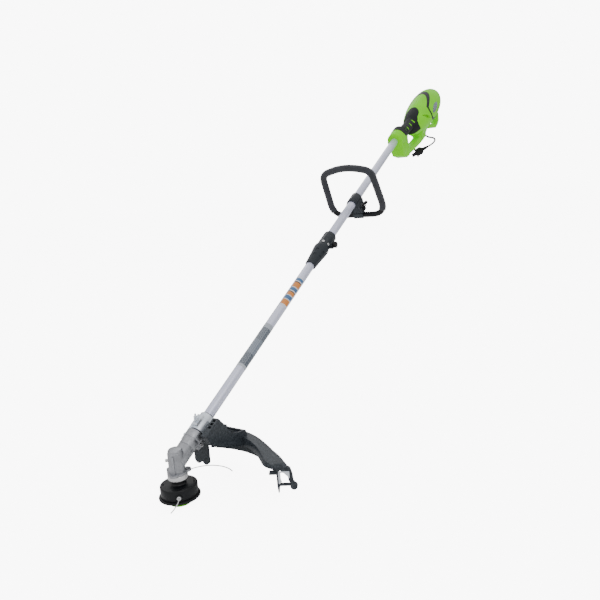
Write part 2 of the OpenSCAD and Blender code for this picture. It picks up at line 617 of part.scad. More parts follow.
module handle_block() color(black) on_shaft() difference() {
    union() {
        cross(-leg_y + 5.3, leg_y - 5.3, 7.6, clamp_s, bolt_n);
        slab(clamp_s - 8, clamp_s + 8, -leg_y + 5.3, leg_y - 5.3, -48, bolt_n - 1);
        slab(clamp_s - 11, clamp_s + 11, -17, 17, -63, -47);
    }
    cross(-30, 30, bolt_r + 0.05, clamp_s, bolt_n);
    sweep(in_loop(loop_path), loop_d / 2 - 2, 20, [1, 0, 0]);
}

// ---------- rear housing ----------

// radius of the motor housing at distance s from the housing's front face
function egg(s, inset) = let (f = s < egg_mid, x = abs(s - egg_mid) / ((f ? egg_front : egg_rear) - inset),
    e = f ? 2 : 2.2) x >= 1 ? 0 : (motor_r - inset) * pow(1 - pow(x, e), 1 / e);
egg_steps = 40;
function egg_line(inset) = [for (i = [0:egg_steps])
    let (a = 180 * i / egg_steps, w = (a < 90 ? egg_front : egg_rear) - inset, s = egg_mid - w * cos(a))
    [egg(s, inset), s]];
module egg_body(inset) translate([0, 0, -motor_drop]) rotate([0, 90, 0])
    rotate_extrude() polygon(concat([[0, egg_mid - egg_front + inset]],
        [for (p = egg_line(inset)) if (p[0] > 0.5) p], [[0, egg_mid + egg_rear - inset]]));
boss_r = 28;
boss_base = -58;
module boss_body(inset) intersection() {
    union() {
        rotate([0, 90, 0]) rotate_extrude() polygon([[0, inset], [boss_r - 4 - inset, inset],
            [boss_r - inset, 4 + inset], [boss_r - inset, boss_len - inset], [0, boss_len - inset]]);
        // skirt that narrows downwards
        across(inset, boss_len - inset) polygon([[-boss_r + inset, 0], [boss_r - inset, 0],
            [18 - inset, -90], [-18 + inset, -90]]);
    }
    plate(-boss_r, boss_r) polygon([[inset, 40], [inset, boss_base + inset], [30 + inset / 2, -82 + inset],
        [boss_len - inset, -88 + inset], [boss_len - inset, 40]]);
}
grip_s0 = 50;
grip_s1 = 190;
grip_fall = 6;
module grip_body(inset) translate([grip_s0, 0, -3]) rotate([0, grip_fall, 0])
    rod(0, grip_s1 - grip_s0, grip_r - inset);
bar_half = 14;
module bar_body(inset) plate(-bar_half + inset, bar_half - inset)
    polygon([[40, -84 + inset], [110, -97 + inset], [175, -107 + inset], [214, -111 + inset],
        [253 - inset, -113 + inset], [264 - inset, -104 + inset / 2], [300 - inset, -84],
        [300 - inset, -50], [192 + inset, -34], [192 + inset, -86 - inset],
        [62, -76 - inset], [40, -74 - inset]]);
// wide part that carries the motor housing down to the bar
module belly_body(inset) intersection() {
    plate(-40, 40) polygon([[196 + inset, -40], [200 + inset, -80], [214 + inset, -99 + inset],
        [262 - inset, -101 + inset], [302 - inset, -84], [308 - inset, -60], [308 - inset, -40]]);
    across(190, 320) polygon([[-34 + inset, -36], [34 - inset, -36], [28 - inset, -70],
        [bar_half - inset, -103], [-bar_half + inset, -103], [-28 + inset, -70]]);
}
module housing_outer(inset = 0) {
    boss_body(inset);
    grip_body(inset);
    egg_body(inset);
    bar_body(inset);
    belly_body(inset);
}
module housing_shell() difference() {
    union() {
        difference() {
            housing_outer();
            housing_outer(shell_wall);
        }
        // clamp block round the tube inside the boss
        intersection() {
            boss_body(1);
            slab(1, boss_len - 8, -24, 24, -20, 20);
        }
        // ribs that cradle the motor frame
        intersection() {
            egg_body(1);
            translate([0, 0, -motor_drop]) for (s = [248, 326]) difference() {
                rod(s, s + 4, motor_r);
                rod(s - 1, s + 5, 40);
            }
        }
    }
    rod(-1, 48, tube_r);
    rod(47, boss_len + 1, drive_r + 3);
    // slot for the trigger and hole for the lock button
    slab(boss_len + 2, boss_len + 56, -7.5, 7.5, -60, -10);
    rod(boss_len - 20, boss_len + 4, 4.4, 0, -46);
    // three slanted vents on each side
    for (m = [-1, 1]) for (k = [0:2]) translate([222 + 9 * k, m * 44, -18 - 4 * k]) rotate([0, 50, 0])
        cube([30, 34, 2.4], center = true);
    // cooling slots round the back
    for (a = [0:20:340]) translate([egg_mid + egg_rear - 26, 0, -motor_drop]) rotate([a, 0, 0])
        translate([0, 0, 24]) cube([2.4, 4, 30], center = true);
    // seat of the cord gland
    translate(cord_route[0]) rotate([0, 45, 0]) rod(-15, 20, gland_r);
    // screw holes
    for (p = screw_places) cross(-80, 80, 1.9, p[0], p[1]);
}
screw_places = [[12, -18], [44, -18], [30, -66], [150, -26], [205, -96], [240, -98], [414, -44]];
module housing_left() color(green) on_housing() intersection() {
    housing_shell();
    slab(-10, 600, -200, 0, -200, 200);
}
module housing_right() color(green) on_housing() intersection() {
    housing_shell();
    slab(-10, 600, 0, 200, -200, 200);
}
// first oval window of the cover, and the step from one to the next
window_s = boss_len + 39;
window_pitch = 31;
module grip_cover() color(black) on_housing() intersection() {
    difference() {
        union() {
            difference() { grip_body(-cover_t); grip_body(0); }
            difference() { egg_body(-cover_t); egg_body(0); }
            difference() { boss_body(-cover_t); boss_body(0); }
        }
        housing_outer(0);
        // slot for the trigger
        slab(boss_len + 1, boss_len + 57, -8, 8, -60, -10);
        slab(-5, 36, -60, 60, -80, 60);
        slab(boss_len - 20, boss_len + 6, -60, 60, -120, -6);
        // a crescent and three oval windows on each side of the grip
        plate(-60, 60) {
            translate([boss_len + 12, 3.5]) difference() {
                circle(r = 12);
                translate([-4.5, 1]) circle(r = 12.8);
            }
            for (k = [0:2]) translate([window_s + window_pitch * k, -1 - 1.5 * k]) rotate(100) {
                square([7, 7], center = true);
                for (m = [-1, 1]) translate([m * 3.5, 0]) circle(3.5);
            }
        }
    }
    plate(-70, 70) polygon([[36, 60], [36, 12], [46, -8], [boss_len + 2, -8], [boss_len + 4, -40],
        [boss_len + 60, -40], [150, -48], [176, -44], [170, -24], [175, -11], [190, -1],
        [212, 6], [236, 18], [254, 34], [262, 60]]);
}
module stripe_band() color(black) on_housing() intersection() {
    difference() {
        egg_body(-0.8);
        egg_body(0);
        slab(300, 450, -12 - gap, 12 + gap, -130, -60);
    }
    plate(-80, 80) polygon([[392, 40], [352, 27], [296, 13], [262, 3], [256.5, -16], [262, -44],
        [274, -59], [330, -76], [430, -98], [430, -90], [332, -69], [280, -53], [268.5, -41],
        [263.5, -15], [268, -3], [299, 6], [356, 20], [396, 33]]);
}
badge_s = 308;
badge_n = -23;
module badge() color([0.3, 0.35, 0.45]) on_housing() for (m = [-1, 1]) intersection() {
    difference() { egg_body(-1.4); egg_body(0); }
    translate([badge_s, 0, badge_n]) rotate([0, -14, 0]) plate(m > 0 ? 0 : -80, m > 0 ? 80 : 0)
        intersection() {
            translate([0, 43]) circle(r = 54);
            translate([0, -43]) circle(r = 54);
        }
}
module cord_hook() color(green) on_housing() difference() {
    plate(-12, 12) difference() {
        polygon([[306, -80], [322, -114], [378, -141], [408, -141], [430, -133], [440, -112],
            [440, -78], [424, -60], [320, -70]]);
        polygon([[330, -86], [330, -99], [337, -109], [380, -127], [396, -127], [412, -119],
            [419, -105], [419, -70]]);
    }
    egg_body(-0.05);
    bar_body(-0.05);
    belly_body(-0.05);
}
module housing_screws() color(steel) on_housing() for (p = screw_places)
    cross(p[1] < -60 ? -12 : -16, 10, 1.9, p[0], p[1]);

// ---------- controls ----------

trigger_s = boss_len + 10;
trigger_n = -16;
module trigger() color(black) on_housing() difference() {
    plate(-6.5, 6.5) polygon([[trigger_s - 4, -14], [trigger_s + 40, -20], [trigger_s + 40, -32],
        [trigger_s + 34, -40], [trigger_s + 22, -41], [trigger_s + 10, -37], [trigger_s - 4, -26]]);
    cross(-9, 9, 2.05, trigger_s, trigger_n - 4);
}
module trigger_spring() color(steel) on_housing() translate([trigger_s + 34, 0, -18.3])
    sweep(coil(2.4, 1.25, 5, 12), 0.4, 6);
module lock_button() color(black) on_housing() {
    rod(boss_len - 14, boss_len + 22, 4.3, 0, -46);
    rod(boss_len + 22, boss_len + 25, 5.5, 0, -46);
}
module switch_box() color(black) on_housing()
    slab(trigger_s + 12, trigger_s + 46, -9, 9, -11.6, -6.4);

// ---------- motor ----------

module flex_liner() color(steel) on_housing() sweep(smooth([[70.2, 0, 0], [100, 0, 0], [140, 0, -4],
    [172, 0, -14], [200, 0, -25], [225, 0, -31], [238, 0, -32]], 4), 4.6, 12, [0, 1, 0]);
module at_motor() on_housing() translate([egg_mid - 35, 0, -motor_drop]) children();
module motor_frame() color(black) at_motor() difference() {
    rod(-46, -30, 40);
    rod(-38, -29, 35);
    rod(-47, -20, 8);
}
module motor_stator() color([0.4, 0.4, 0.43]) at_motor() difference() {
    union() {
        rod(-20, 36, 38);
        for (m = [-1, 1]) difference() {
            rod(-24, 44, 34);
            rod(-25, 45, 25);
            slab(-30, 46, -60, 60, m > 0 ? -60 : -14, m > 0 ? 14 : 60);
        }
    }
    rod(-40, 60, 23);
}
module armature() color([0.55, 0.35, 0.2]) at_motor() {
    rod(-50, 100, 4);
    difference() {
        rod(-18, 34, 22);
        for (a = [0:30:330]) rotate([a, 0, 0]) slab(-19, 35, -1, 1, 19, 23);
    }
    rod(-26, 42, 16);
    rod(50, 68, 11);
}
module cooling_fan() color(black) at_motor() {
    difference() {
        union() {
            rod(-29.5, -27.5, 31);
            rod(-29.5, -27, 8);
            for (a = [0:30:330]) rotate([a, 0, 0]) slab(-34, -28, -0.8, 0.8, 10, 30);
        }
        rod(-40, -20, 4);
    }
}
module motor_bearings() color(steel) at_motor() {
    tube(-46, -40, 8, 4.05);
    tube(86, 93, 11, 4.05);
}
module brush_holders() color([0.7, 0.55, 0.25]) at_motor() difference() {
    union() {
        for (m = [-1, 1]) slab(52, 64, m > 0 ? 11.3 : -30, m > 0 ? 30 : -11.3, -5, 5);
        difference() { rod(70, 93, 30); rod(60, 86, 26); }
    }
    rod(80, 100, 11);
}

// ---------- power cord ----------

// route of the cord's centreline from the gland to the plug, in the housing's coordinates
cord_route = [[263, 0, -102.2], [274.5, 0, -113.7], [283.8, -3.1, -126.7], [290.2, -9.4, -136.2],
              [306.3, -21.3, -150.2], [317.7, -21.5, -163.9], [324.4, -12.6, -177],
              [323.8, 0.7, -186.4], [317.4, 14.4, -190.7]];
gland_r = cord_d / 2 + 3.5;
module cord_gland() color(black) on_housing() translate(cord_route[0]) rotate([0, 135, 0]) difference() {
    union() {
        translate([0, 0, -14]) cylinder(h = 18, r = gland_r);
        translate([0, 0, 4]) cylinder(h = 16, r1 = gland_r, r2 = cord_d / 2 + 2.2);
    }
    translate([0, 0, -15]) cylinder(h = 30, r = cord_d / 2 + 0.6);
    translate([0, 0, 14]) cylinder(h = 6.2, r1 = cord_d / 2 + 0.6, r2 = cord_d / 2 + 1.5);
}
module power_cord() color(black) on_housing() sweep(smooth(cord_route, 3), cord_d / 2, 10);
plug_r = 17;
plug_aim = [-0.46, 0.86, -0.22];
module plug() color(black) on_housing() translate(cord_route[len(cord_route) - 1])
    rotate([0, acos(plug_aim[2]), atan2(plug_aim[1], plug_aim[0])]) difference() {
      union() {
        // ribbed strain relief, tapered towards the cord, then the body and its rim
        cylinder(h = 26, r1 = cord_d / 2 + 0.9, r2 = cord_d / 2 + 4);
        for (k = [0:3]) translate([0, 0, 3 + 6 * k]) cylinder(h = 2.4, r = cord_d / 2 + 2.2 + 0.8 * k);
        translate([0, 0, 24]) cylinder(h = 7, r1 = 10, r2 = plug_r - 1);
        translate([0, 0, 31]) cylinder(h = 20, r = plug_r - 1);
        translate([0, 0, 49]) cylinder(h = 6, r = plug_r + 1.5);
        for (y = [-6.3, 6.3]) translate([-3.2, y - 0.75, 54]) cube([6.4, 1.5, 18]);
        translate([8, 0, 54]) cylinder(h = 19, r = 2.4);
      }
      // seat of the cord's end
      translate([0, 0, -1]) cylinder(h = 2.5, r = cord_d / 2 + 0.15);
    }

bump_knob();
line_spool();
wound_line();
head_spring();
head_housing();
head_rim();
line_eyelets();
cutting_line();
drive_collar();
output_shaft();
bevel_gear();
gearbox_housing();
gearbox_bearings();
gearbox_screws();
bevel_pinion();
lower_drive_shaft();
lower_tube();
lower_bushings();
shaft_labels();
guard_bracket();
bracket_pad();
guard_shell();
cutter_blade();
guard_screws();
guard_wing_nut();
coupler_barrel();
coupler_clamp();
coupler_bolts();
coupler_knob();
release_button();
upper_tube();
upper_bushings();
upper_drive_shaft();
handle_saddle();
handle_bolt();
handle_wing_nut();
handle_block();
loop_frame();
loop_grip();
housing_left();
housing_right();
grip_cover();
stripe_band();
badge();
cord_hook();
housing_screws();
trigger();
trigger_spring();
lock_button();
switch_box();
flex_liner();
motor_stator();
armature();
cooling_fan();
motor_bearings();
brush_holders();
motor_frame();
cord_gland();
power_cord();
plug();
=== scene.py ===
"""Corded string trimmer: finishes, cords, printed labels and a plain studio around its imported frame."""

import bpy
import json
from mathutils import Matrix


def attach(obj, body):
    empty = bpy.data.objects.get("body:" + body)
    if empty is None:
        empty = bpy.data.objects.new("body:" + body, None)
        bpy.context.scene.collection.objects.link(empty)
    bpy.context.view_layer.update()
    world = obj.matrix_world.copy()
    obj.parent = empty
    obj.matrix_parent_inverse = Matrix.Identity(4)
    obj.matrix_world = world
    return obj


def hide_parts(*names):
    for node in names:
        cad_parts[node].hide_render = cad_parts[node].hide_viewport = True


bl_info = {
    "name": "Corded String Trimmer",
    "version": (1, 0, 0),
    "blender": (4, 5, 0),
    "location": "View3D > Sidebar > Trimmer",
    "description": "Builds the looks of a corded string trimmer around its frame",
    "category": "Object",
}

import json
import math

import bmesh
import bpy
from mathutils import Matrix, Vector

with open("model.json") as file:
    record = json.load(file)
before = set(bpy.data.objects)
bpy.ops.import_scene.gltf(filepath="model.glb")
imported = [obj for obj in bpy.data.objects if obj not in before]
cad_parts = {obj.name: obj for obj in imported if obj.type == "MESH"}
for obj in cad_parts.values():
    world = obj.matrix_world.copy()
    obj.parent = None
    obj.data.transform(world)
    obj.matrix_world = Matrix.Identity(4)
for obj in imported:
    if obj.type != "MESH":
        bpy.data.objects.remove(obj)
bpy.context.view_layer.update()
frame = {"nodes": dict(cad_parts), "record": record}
NODES = frame["nodes"]
NODE_SLOT = {part["node"]: part["material_slot"] for part in frame["record"]["subparts"]}

MM = 0.001
SHAFT_ANGLE = math.radians(30)
# height in metres at which the shaft axis crosses the axis of the cutting head
CROSSING_HEIGHT = 0.092
CROSSING = Vector((0, 0, CROSSING_HEIGHT))
# places in millimetres along the shaft axis from the crossing
HOUSING_FRONT = 1410
LOWER_TUBE_START = 28
# start after the tube's own start, and length, of the two printed films in millimetres
PANEL_LABEL = (250, 150)
STRIP_LABEL = (474, 114)

FRAME_AXES = Matrix.Rotation(-SHAFT_ANGLE, 3, "Y")


def on_shaft(s, y, n):
    """Point s mm along the shaft, y mm across it and n mm over it, in metres in the frame."""
    return CROSSING + FRAME_AXES @ Vector((s, y, n)) * MM


def on_housing(s, y, n):
    """The same, with s measured from the rear housing's front face."""
    return on_shaft(HOUSING_FRONT + s, y, n)


# ---------------------------------------------------------------- properties


class TrimmerFinish(bpy.types.PropertyGroup):
    """Colours and finish of the trimmer"""

    green: bpy.props.FloatVectorProperty(
        name="Housing green", description="Colour of the rear housing",
        subtype="COLOR", size=3, min=0, max=1, default=(0.23, 0.92, 0.0))
    black: bpy.props.FloatVectorProperty(
        name="Black plastic", description="Colour of the head, coupler and trigger",
        subtype="COLOR", size=3, min=0, max=1, default=(0.006, 0.007, 0.009))
    charcoal: bpy.props.FloatVectorProperty(
        name="Guard charcoal", description="Colour of the guard",
        subtype="COLOR", size=3, min=0, max=1, default=(0.024, 0.030, 0.037))
    grip: bpy.props.FloatVectorProperty(
        name="Soft grip", description="Colour of the cover on the rear grip",
        subtype="COLOR", size=3, min=0, max=1, default=(0.010, 0.013, 0.014))
    foam: bpy.props.FloatVectorProperty(
        name="Foam", description="Colour of the sleeve on the loop handle",
        subtype="COLOR", size=3, min=0, max=1, default=(0.028, 0.031, 0.040))
    alloy: bpy.props.FloatVectorProperty(
        name="Tube alloy", description="Colour of the two shaft tubes",
        subtype="COLOR", size=3, min=0, max=1, default=(0.76, 0.79, 1.0))
    cast: bpy.props.FloatVectorProperty(
        name="Cast alloy", description="Colour of the gearbox case",
        subtype="COLOR", size=3, min=0, max=1, default=(0.46, 0.47, 0.50))


class TrimmerSizes(bpy.types.PropertyGroup):
    """Sizes that the looks add to the frame"""

    cord_diameter: bpy.props.FloatProperty(
        name="Cord diameter", description="Outside diameter of the power lead",
        unit="LENGTH", min=0.005, max=0.009, default=0.007)
    line_diameter: bpy.props.FloatProperty(
        name="Line diameter", description="Diameter of the cutting line",
        unit="LENGTH", min=0.0016, max=0.003, default=0.0024)
    plastic_round: bpy.props.FloatProperty(
        name="Plastic edge round", description="Width of the rounding on moulded edges",
        unit="LENGTH", min=0.0, max=0.002, default=0.0009)
    metal_round: bpy.props.FloatProperty(
        name="Metal edge round", description="Width of the rounding on metal edges",
        unit="LENGTH", min=0.0, max=0.001, default=0.0004)
    sharp_angle: bpy.props.FloatProperty(
        name="Sharp angle", description="Edges that turn more than this are rounded or stay crisp",
        subtype="ANGLE", unit="ROTATION", min=0.1, max=1.5, default=math.radians(33))


class TrimmerStage(bpy.types.PropertyGroup):
    """Floor and light"""

    floor_radius: bpy.props.FloatProperty(
        name="Floor radius", description="Radius of the round floor",
        unit="LENGTH", min=3, max=60, default=40)
    floor_tone: bpy.props.FloatProperty(
        name="Floor tone", description="Brightness of the floor", min=0.2, max=0.95, default=0.86)
    sky: bpy.props.FloatProperty(
        name="Sky strength", description="Strength of the soft light from above",
        min=0, max=4, default=1.1)
    side: bpy.props.FloatProperty(
        name="Side strength", description="Strength of the soft light from the sides",
        min=0, max=4, default=0.4)
    key: bpy.props.FloatProperty(
        name="Key light", description="Power of the large overhead light",
        unit="POWER", min=0, max=500, default=24)
    backdrop: bpy.props.FloatProperty(
        name="Backdrop", description="Brightness of the lit white backdrop and floor",
        min=0, max=20, default=9.0)


# ---------------------------------------------------------------- shader parts


def socket(tree, name, way, kind, value=None):
    """Adds one input or output to a shader group."""
    made = tree.interface.new_socket(name=name, in_out=way, socket_type=kind)
    if value is not None:
        made.default_value = value


def new_group(name, inputs, outputs):
    """A shader group with float inputs {name: value}, a Vector input and the named outputs."""
    tree = bpy.data.node_groups.new(name, "ShaderNodeTree")
    socket(tree, "Vector", "INPUT", "NodeSocketVector")
    for key, value in inputs.items():
        socket(tree, key, "INPUT", "NodeSocketFloat", value)
    for key in outputs:
        socket(tree, key, "OUTPUT", "NodeSocketFloat")
    start = tree.nodes.new("NodeGroupInput")
    end = tree.nodes.new("NodeGroupOutput")
    start.location, end.location = (-900, 0), (600, 0)
    return tree, start.outputs, end.inputs


def math_node(tree, operation, a, b=None, c=None, clamp=False):
    """Result of one operation on numbers or sockets."""
    node = tree.nodes.new("ShaderNodeMath")
    node.operation, node.use_clamp = operation, clamp
    for place, value in enumerate((a, b, c)):
        if value is None:
            continue
        if isinstance(value, (int, float)):
            node.inputs[place].default_value = value
        else:
            tree.links.new(value, node.inputs[place])
    return node.outputs[0]


def noise(tree, vector, scale, detail=3.0, rough=0.5):
    """Cloudy value between 0 and 1, mostly near its middle."""
    node = tree.nodes.new("ShaderNodeTexNoise")
    node.inputs["Detail"].default_value = detail
    node.inputs["Roughness"].default_value = rough
    tree.links.new(vector, node.inputs["Vector"])
    if isinstance(scale, (int, float)):
        node.inputs["Scale"].default_value = scale
    else:
        tree.links.new(scale, node.inputs["Scale"])
    return node.outputs[0]


def spread(tree, value, low, high, out_low=0.0, out_high=1.0):
    """Maps low..high to out_low..out_high, and holds it at both ends."""
    node = tree.nodes.new("ShaderNodeMapRange")
    tree.links.new(value, node.inputs["Value"])
    for key, number in (("From Min", low), ("From Max", high), ("To Min", out_low), ("To Max", out_high)):
        if isinstance(number, (int, float)):
            node.inputs[key].default_value = number
        else:
            tree.links.new(number, node.inputs[key])
    return node.outputs[0]


def build_groups():
    """Grain, wear, dust and drawn-metal effects that several finishes share."""
    groups = {}

    tree, given, put = new_group("moulded_grain", {"Scale": 900.0}, ["Height", "Tone"])
    scale = given["Scale"]
    fine = noise(tree, given["Vector"], scale, 2.0, 0.6)
    cells = tree.nodes.new("ShaderNodeTexVoronoi")
    tree.links.new(given["Vector"], cells.inputs["Vector"])
    tree.links.new(scale, cells.inputs["Scale"])
    both = math_node(tree, "MULTIPLY_ADD", cells.outputs["Distance"], 0.6, fine)
    tree.links.new(both, put["Height"])
    tree.links.new(noise(tree, given["Vector"], 14.0, 4.0, 0.55), put["Tone"])
    groups["grain"] = tree

    tree, given, put = new_group("edge_wear", {"Start": 0.52, "Width": 0.06, "Breakup": 220.0}, ["Mask"])
    point = tree.nodes.new("ShaderNodeNewGeometry").outputs["Pointiness"]
    end = math_node(tree, "ADD", given["Start"], given["Width"])
    edge = spread(tree, point, given["Start"], end)
    patch = spread(tree, noise(tree, given["Vector"], given["Breakup"], 4.0, 0.6), 0.42, 0.62)
    tree.links.new(math_node(tree, "MULTIPLY", edge, patch, clamp=True), put["Mask"])
    groups["wear"] = tree

    tree, given, put = new_group("dust_film", {"Amount": 0.3, "Scale": 30.0}, ["Mask"])
    split = tree.nodes.new("ShaderNodeSeparateXYZ")
    tree.links.new(tree.nodes.new("ShaderNodeNewGeometry").outputs["Normal"], split.inputs[0])
    up = spread(tree, split.outputs["Z"], 0.25, 1.0)
    cloud = spread(tree, noise(tree, given["Vector"], given["Scale"], 6.0, 0.65), 0.4, 0.7)
    film = math_node(tree, "MULTIPLY", up, cloud)
    tree.links.new(math_node(tree, "MULTIPLY", film, given["Amount"], clamp=True), put["Mask"])
    groups["dust"] = tree

    tree, given, put = new_group("drawn_metal", {"Scale": 500.0, "Stretch": 0.02}, ["Height", "Tone"])
    split = tree.nodes.new("ShaderNodeSeparateXYZ")
    tree.links.new(given["Vector"], split.inputs[0])
    join = tree.nodes.new("ShaderNodeCombineXYZ")
    tree.links.new(math_node(tree, "MULTIPLY", split.outputs["X"], given["Stretch"]), join.inputs["X"])
    tree.links.new(split.outputs["Y"], join.inputs["Y"])
    tree.links.new(split.outputs["Z"], join.inputs["Z"])
    streak = noise(tree, join.outputs[0], given["Scale"], 3.0, 0.6)
    tree.links.new(streak, put["Height"])
    tree.links.new(noise(tree, given["Vector"], 9.0, 3.0, 0.5), put["Tone"])
    groups["drawn"] = tree

    tree, given, put = new_group("cast_skin", {"Scale": 420.0}, ["Height", "Tone"])
    lumps = tree.nodes.new("ShaderNodeTexVoronoi")
    lumps.feature = "SMOOTH_F1"
    tree.links.new(given["Vector"], lumps.inputs["Vector"])
    tree.links.new(given["Scale"], lumps.inputs["Scale"])
    blend = math_node(tree, "MULTIPLY_ADD", noise(tree, given["Vector"], given["Scale"], 5.0, 0.7), 0.7,
                      lumps.outputs["Distance"])
    tree.links.new(blend, put["Height"])
    tree.links.new(noise(tree, given["Vector"], 45.0, 6.0, 0.62), put["Tone"])
    groups["cast"] = tree
    return groups


class Finish:
    """One material with a Principled shader, object coordinates and the shared effects."""

    groups = {}

    def __init__(self, name, roughness=0.5, metallic=0.0, **sockets):
        self.material = bpy.data.materials.new(name)
        self.material.use_nodes = True
        self.tree = self.material.node_tree
        self.shader = self.tree.nodes["Principled BSDF"]
        self.shader.inputs["Roughness"].default_value = roughness
        self.shader.inputs["Metallic"].default_value = metallic
        for key, value in sockets.items():
            self.shader.inputs[key.replace("_", " ")].default_value = value
        self.place = self.tree.nodes.new("ShaderNodeTexCoord").outputs["Object"]

    def turned(self):
        """Coordinates about the frame's origin, turned so that X runs along the shaft."""
        node = self.tree.nodes.new("ShaderNodeMapping")
        node.inputs["Rotation"].default_value = (0, SHAFT_ANGLE, 0)
        self.tree.links.new(self.place, node.inputs["Vector"])
        return node.outputs[0]

    def effect(self, name, vector=None, **values):
        """Outputs of a shared group that is placed in this material with its own values."""
        node = self.tree.nodes.new("ShaderNodeGroup")
        node.node_tree = self.groups[name]
        self.tree.links.new(vector or self.place, node.inputs["Vector"])
        for key, value in values.items():
            node.inputs[key].default_value = value
        return node.outputs

    def mix(self, mask, first, second):
        """Blends two colours or colour sockets by a mask."""
        node = self.tree.nodes.new("ShaderNodeMix")
        node.data_type = "RGBA"
        self.tree.links.new(mask, node.inputs["Factor"])
        for key, value in (("A", first), ("B", second)):
            place = [s for s in node.inputs if s.name == key and s.type == "RGBA"][0]
            if isinstance(value, bpy.types.NodeSocket):
                self.tree.links.new(value, place)
            else:
                place.default_value = (*value, 1)
        return [s for s in node.outputs if s.type == "RGBA"][0]

    def color(self, value):
        """Base colour from a socket."""
        self.tree.links.new(value, self.shader.inputs["Base Color"])

    def rough(self, value, low, high, start=0.3, stop=0.7):
        """Roughness from low to high as the value goes from start to stop."""
        self.tree.links.new(spread(self.tree, value, start, stop, low, high), self.shader.inputs["Roughness"])

    def bump(self, height, distance):
        """Surface relief of the given depth in metres."""
        node = self.tree.nodes.new("ShaderNodeBump")
        node.inputs["Strength"].default_value = 1.0
        node.inputs["Distance"].default_value = distance
        self.tree.links.new(height, node.inputs["Height"])
        self.tree.links.new(node.outputs[0], self.shader.inputs["Normal"])


DUST = (0.33, 0.32, 0.30)


def shade(rgb, factor):
    """The colour made darker or lighter."""
    return tuple(min(1.0, c * factor) for c in rgb)


def plastic(name, rgb, rough, grain, depth, worn, dust=0.02, gloss=0.28):
    """Moulded plastic: grained, a little mottled, paler along its edges and dusty on top."""
    make = Finish(name, roughness=rough, Specular_IOR_Level=gloss)
    skin = make.effect("grain", Scale=grain)
    tone = spread(make.tree, skin["Tone"], 0.3, 0.7)
    base = make.mix(tone, shade(rgb, 0.88), shade(rgb, 1.12))
    wear = make.effect("wear", Start=0.53, Width=0.08)["Mask"]
    edge = make.mix(wear, base, shade([c + 0.01 for c in rgb], worn))
    film = make.effect("dust", Amount=dust, Scale=26.0)["Mask"]
    make.color(make.mix(film, edge, DUST))
    make.rough(skin["Tone"], rough - 0.06, rough + 0.08)
    make.bump(skin["Height"], depth)
    return make.material


def metal(name, rgb, rough, effect, scale, depth, tint, metallic=1.0, along_shaft=False, **values):
    """Bare metal with drawn streaks or cast skin, darker stains and brighter edges."""
    make = Finish(name, roughness=rough, metallic=metallic)
    vector = make.turned() if along_shaft else None
    skin = make.effect(effect, vector, Scale=scale, **values)
    stain = spread(make.tree, skin["Tone"], 0.35, 0.72)
    base = make.mix(stain, rgb, shade(rgb, tint))
    wear = make.effect("wear", Start=0.53, Width=0.06)["Mask"]
    make.color(make.mix(wear, base, shade(rgb, 1.35)))
    make.rough(skin["Tone"], rough - 0.06, rough + 0.1)
    make.bump(skin["Height"], depth)
    return make.material


def striped(make, vector, start, length, stops):
    """Blocks of colour along X from start over length in metres, and the vector's own axes."""
    split = make.tree.nodes.new("ShaderNodeSeparateXYZ")
    make.tree.links.new(vector, split.inputs[0])
    along = spread(make.tree, split.outputs["X"], start, start + length)
    ramp = make.tree.nodes.new("ShaderNodeValToRGB")
    ramp.color_ramp.interpolation = "CONSTANT"
    while len(ramp.color_ramp.elements) > 1:
        ramp.color_ramp.elements.remove(ramp.color_ramp.elements[0])
    ramp.color_ramp.elements[0].position = stops[0][0]
    ramp.color_ramp.elements[0].color = (*stops[0][1], 1)
    for place, rgb in stops[1:]:
        ramp.color_ramp.elements.new(place).color = (*rgb, 1)
    make.tree.links.new(along, ramp.inputs[0])
    return ramp.outputs[0], split.outputs


